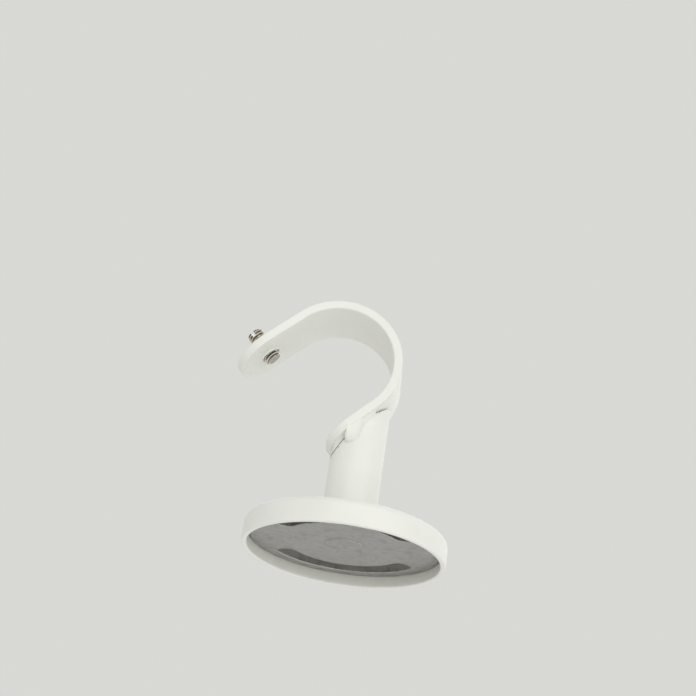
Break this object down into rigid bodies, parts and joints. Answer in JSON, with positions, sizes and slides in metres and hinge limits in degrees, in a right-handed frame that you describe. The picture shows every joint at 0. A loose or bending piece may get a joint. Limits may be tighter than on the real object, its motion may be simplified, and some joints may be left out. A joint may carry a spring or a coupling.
{
  "type": "ceiling curtain pole bracket",
  "caption": "White open hook bracket that hangs a round curtain pole under a ceiling: strip hook on a slanted round stem, shallow ceiling cup over a slotted fixing plate, headless pole screw.",
  "frame": {"origin": "centre of the cup's rim, in the plane of the ceiling", "axes": "+Z from the ceiling towards the hook, along the stem; the pole lies along Y; -X is the side of the hook's mouth"},
  "size_m": [0.0526, 0.045, 0.058],
  "materials": {
    "white_paint": "semi-gloss white powder coat on steel",
    "zinc_plate": "dull zinc-plated steel",
    "screw_steel": "plain steel with a yellowish zinc tint"
  },
  "bodies": {
    "bracket": {"ceiling_cup": "white_paint", "fixing_plate": "zinc_plate", "plate_stud": "zinc_plate", "stem": "white_paint", "hook_strap": "white_paint", "weld_beads": "white_paint"},
    "pole_screw": {"pole_screw": "screw_steel"}
  },
  "joints": [
    {"name": "pole_screw_feed", "type": "slide", "parent": "bracket", "child": "pole_screw", "axis": [0.682, 0, -0.7314], "range_m": [-0.0014, 0.0046]}
  ]
}
